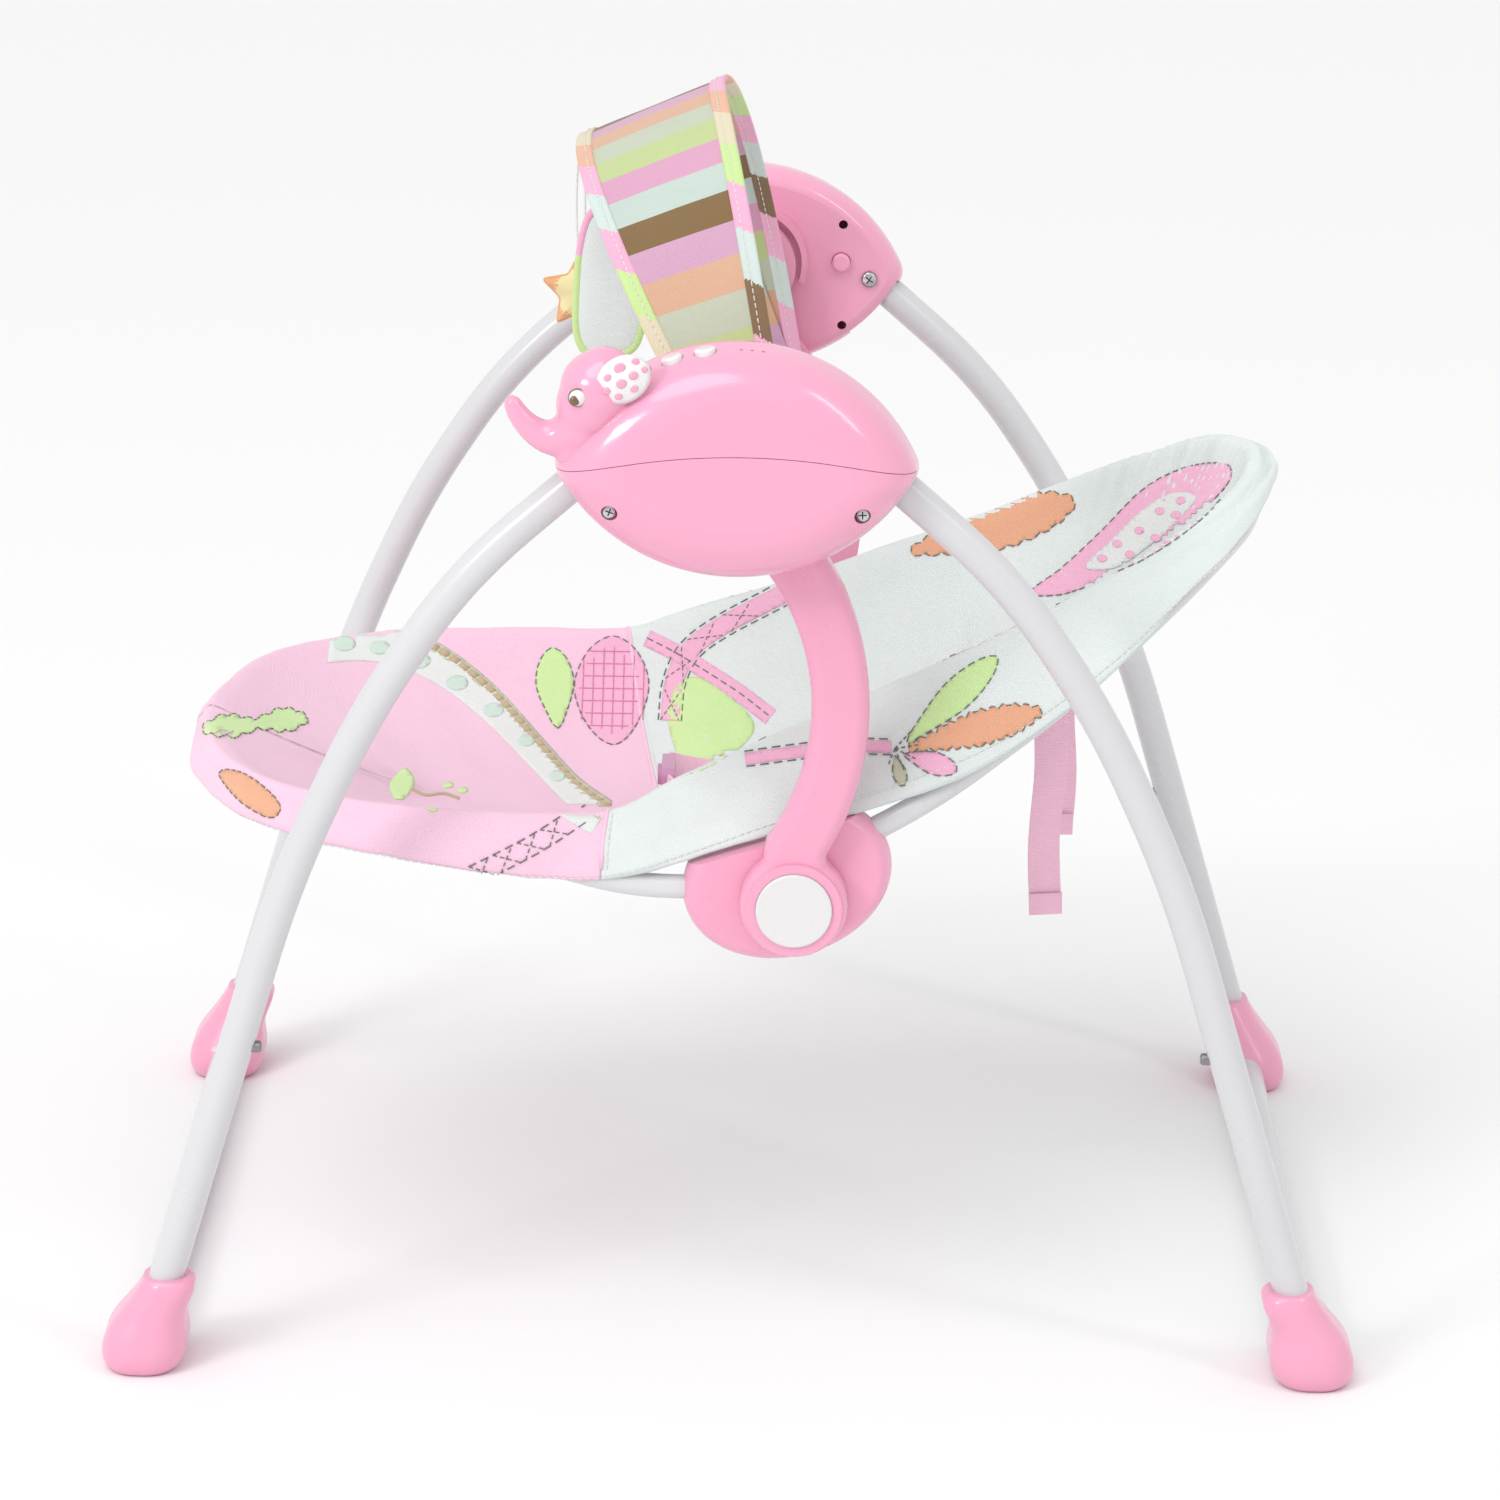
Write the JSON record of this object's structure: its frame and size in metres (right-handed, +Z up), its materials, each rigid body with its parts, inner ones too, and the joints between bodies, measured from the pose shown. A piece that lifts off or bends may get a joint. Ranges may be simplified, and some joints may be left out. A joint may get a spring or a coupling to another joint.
{
  "type": "bouncer seat",
  "caption": "Folding powered swing seat for a baby: reclining fabric seat hung on two arms from hubs on a four-legged tube stand, with an arched striped canopy and hanging toys.",
  "frame": {"origin": "on the floor, midway between the four feet, below the middle of the object's box", "axes": "+X from the foot end of the seat to its head end, +Y across from the battery side to the far side, +Z up"},
  "size_m": [0.7292, 0.58, 0.7139],
  "materials": {
    "hub_plastic": "glossy pale pink moulded plastic",
    "arm_plastic": "satin pink moulded plastic",
    "foot_plastic": "satin pink moulded plastic",
    "leg_paint": "white powder coat on steel tube",
    "seat_tube_paint": "light grey powder coat on steel tube",
    "cap_plastic": "white moulded plastic",
    "button_plastic": "white moulded plastic",
    "snap_steel": "plated steel pin",
    "screw_steel": "zinc plated screw",
    "nylon": "natural nylon",
    "shaft_steel": "turned steel",
    "board_green": "solder-masked board",
    "speaker_black": "paper cone and pressed frame",
    "coil_copper": "enamelled copper wire",
    "tray_plastic": "moulded battery tray",
    "battery_skin": "plain metal can",
    "toy_head_plastic": "glossy pink moulded plastic",
    "toy_ear_plastic": "white moulded plastic with pink dots",
    "eye_plastic": "dark brown moulded plastic",
    "canopy_fabric": "striped woven cotton",
    "spring_strip": "flexible plastic strip",
    "seat_fabric": "pale mint woven polyester with printed motifs",
    "webbing": "pink woven webbing",
    "buckle_plastic": "mauve moulded plastic",
    "star_cloth": "orange and yellow soft toy cloth",
    "leaf_cloth": "patchwork toy cloth"
  },
  "bodies": {
    "stand": {"front_floor_tube": "leg_paint", "front_leg_near": "leg_paint", "front_leg_far": "leg_paint", "front_knuckles": "nylon", "front_pivot_screws": "screw_steel", "rear_pivot_screws": "screw_steel", "pivot_nuts": "screw_steel", "front_feet": "foot_plastic", "hub_near_inner_shell": "hub_plastic", "hub_far_inner_shell": "hub_plastic", "hub_near_outer_shell": "hub_plastic", "hub_near_battery_cover": "hub_plastic", "hub_far_outer_shell": "hub_plastic", "battery_cover_screws": "screw_steel", "elephant_head": "toy_head_plastic", "elephant_ear": "toy_ear_plastic", "elephant_eye": "eye_plastic", "circuit_board": "board_green", "speaker": "speaker_black", "drive_coil": "coil_copper", "battery_tray": "tray_plastic", "batteries": "battery_skin", "swing_bushes": "nylon"},
    "rear_frame": {"rear_floor_tube": "leg_paint", "rear_leg_near": "leg_paint", "rear_leg_far": "leg_paint", "rear_knuckles": "nylon", "rear_feet": "foot_plastic"},
    "snap_front_near": {"snap_button_front_near": "snap_steel"},
    "snap_front_far": {"snap_button_front_far": "snap_steel"},
    "snap_rear_near": {"snap_button_rear_near": "snap_steel"},
    "snap_rear_far": {"snap_button_rear_far": "snap_steel"},
    "power_button": {"power_button": "button_plastic"},
    "speed_button": {"speed_button": "button_plastic"},
    "music_button": {"music_button": "button_plastic"},
    "fold_release_near": {"fold_release_near": "hub_plastic"},
    "fold_release_far": {"fold_release_far": "hub_plastic"},
    "swing": {"swing_arm_near": "arm_plastic", "swing_arm_far": "arm_plastic", "swing_shafts": "shaft_steel", "magnet_lever": "tray_plastic"},
    "recline_button_near": {"recline_button_near": "cap_plastic"},
    "recline_button_far": {"recline_button_far": "cap_plastic"},
    "seat": {"seat_frame_foot": "seat_tube_paint", "seat_frame_head": "seat_tube_paint", "recline_housing_near": "arm_plastic", "recline_housing_far": "arm_plastic", "recline_pins": "shaft_steel", "seat_cover": "seat_fabric", "crotch_strap": "webbing", "harness_buckle": "buckle_plastic", "waist_strap_near": "webbing", "waist_strap_far": "webbing", "strap_tail_near": "webbing", "strap_tail_far": "webbing"},
    "canopy": {"canopy_cover": "canopy_fabric", "canopy_strip": "spring_strip", "canopy_clips": "nylon"},
    "toy_star": {"toy_star": "star_cloth"},
    "toy_leaf": {"toy_leaf": "leaf_cloth"}
  },
  "joints": [
    {"name": "rear_fold", "type": "hinge", "parent": "stand", "child": "rear_frame", "pos_m": [0.079, 0, 0.545], "axis": [0, 1, 0], "range_deg": [0, 45]},
    {"name": "snap_front_near_press", "type": "slide", "parent": "stand", "child": "snap_front_near", "axis": [-1, 0, 0], "range_m": [0, 0.004], "stiffness_N_per_m": 400},
    {"name": "snap_front_far_press", "type": "slide", "parent": "stand", "child": "snap_front_far", "axis": [-1, 0, 0], "range_m": [0, 0.004], "stiffness_N_per_m": 400},
    {"name": "snap_rear_near_press", "type": "slide", "parent": "rear_frame", "child": "snap_rear_near", "axis": [1, 0, 0], "range_m": [0, 0.004], "stiffness_N_per_m": 400},
    {"name": "snap_rear_far_press", "type": "slide", "parent": "rear_frame", "child": "snap_rear_far", "axis": [1, 0, 0], "range_m": [0, 0.004], "stiffness_N_per_m": 400},
    {"name": "power_press", "type": "slide", "parent": "stand", "child": "power_button", "axis": [0.4916, 0, -0.8708], "range_m": [0, 0.002], "stiffness_N_per_m": 500},
    {"name": "speed_press", "type": "slide", "parent": "stand", "child": "speed_button", "axis": [0.3339, 0, -0.9426], "range_m": [0, 0.002], "stiffness_N_per_m": 500},
    {"name": "music_press", "type": "slide", "parent": "stand", "child": "music_button", "axis": [0.167, 0, -0.986], "range_m": [0, 0.002], "stiffness_N_per_m": 500},
    {"name": "fold_release_near_press", "type": "slide", "parent": "stand", "child": "fold_release_near", "axis": [0, -1, 0], "range_m": [0, 0.003], "stiffness_N_per_m": 500},
    {"name": "fold_release_far_press", "type": "slide", "parent": "stand", "child": "fold_release_far", "axis": [0, 1, 0], "range_m": [0, 0.003], "stiffness_N_per_m": 500},
    {"name": "swing_pivot", "type": "hinge", "parent": "stand", "child": "swing", "pos_m": [0.002, 0, 0.556], "axis": [0, 1, 0], "range_deg": [-18, 18]},
    {"name": "recline_near_press", "type": "slide", "parent": "swing", "child": "recline_button_near", "axis": [0, 1, 0], "range_m": [0, 0.003], "stiffness_N_per_m": 600},
    {"name": "recline_far_press", "type": "slide", "parent": "swing", "child": "recline_button_far", "axis": [0, -1, 0], "range_m": [0, 0.003], "stiffness_N_per_m": 600},
    {"name": "seat_recline", "type": "hinge", "parent": "swing", "child": "seat", "pos_m": [0.035, 0, 0.279], "axis": [0, 1, 0], "range_deg": [-12, 12]},
    {"name": "canopy_tilt", "type": "hinge", "parent": "swing", "child": "canopy", "pos_m": [0.03, 0, 0.484], "axis": [0, 1, 0], "range_deg": [-35, 35]},
    {"name": "star_hang", "type": "hinge", "parent": "canopy", "child": "toy_star", "pos_m": [-0.098, 0.044, 0.671], "axis": [0, 1, 0], "range_deg": [-35, 35]},
    {"name": "leaf_hang", "type": "hinge", "parent": "canopy", "child": "toy_leaf", "pos_m": [-0.078, -0.006, 0.6806], "axis": [0, 1, 0], "range_deg": [-35, 35]}
  ]
}
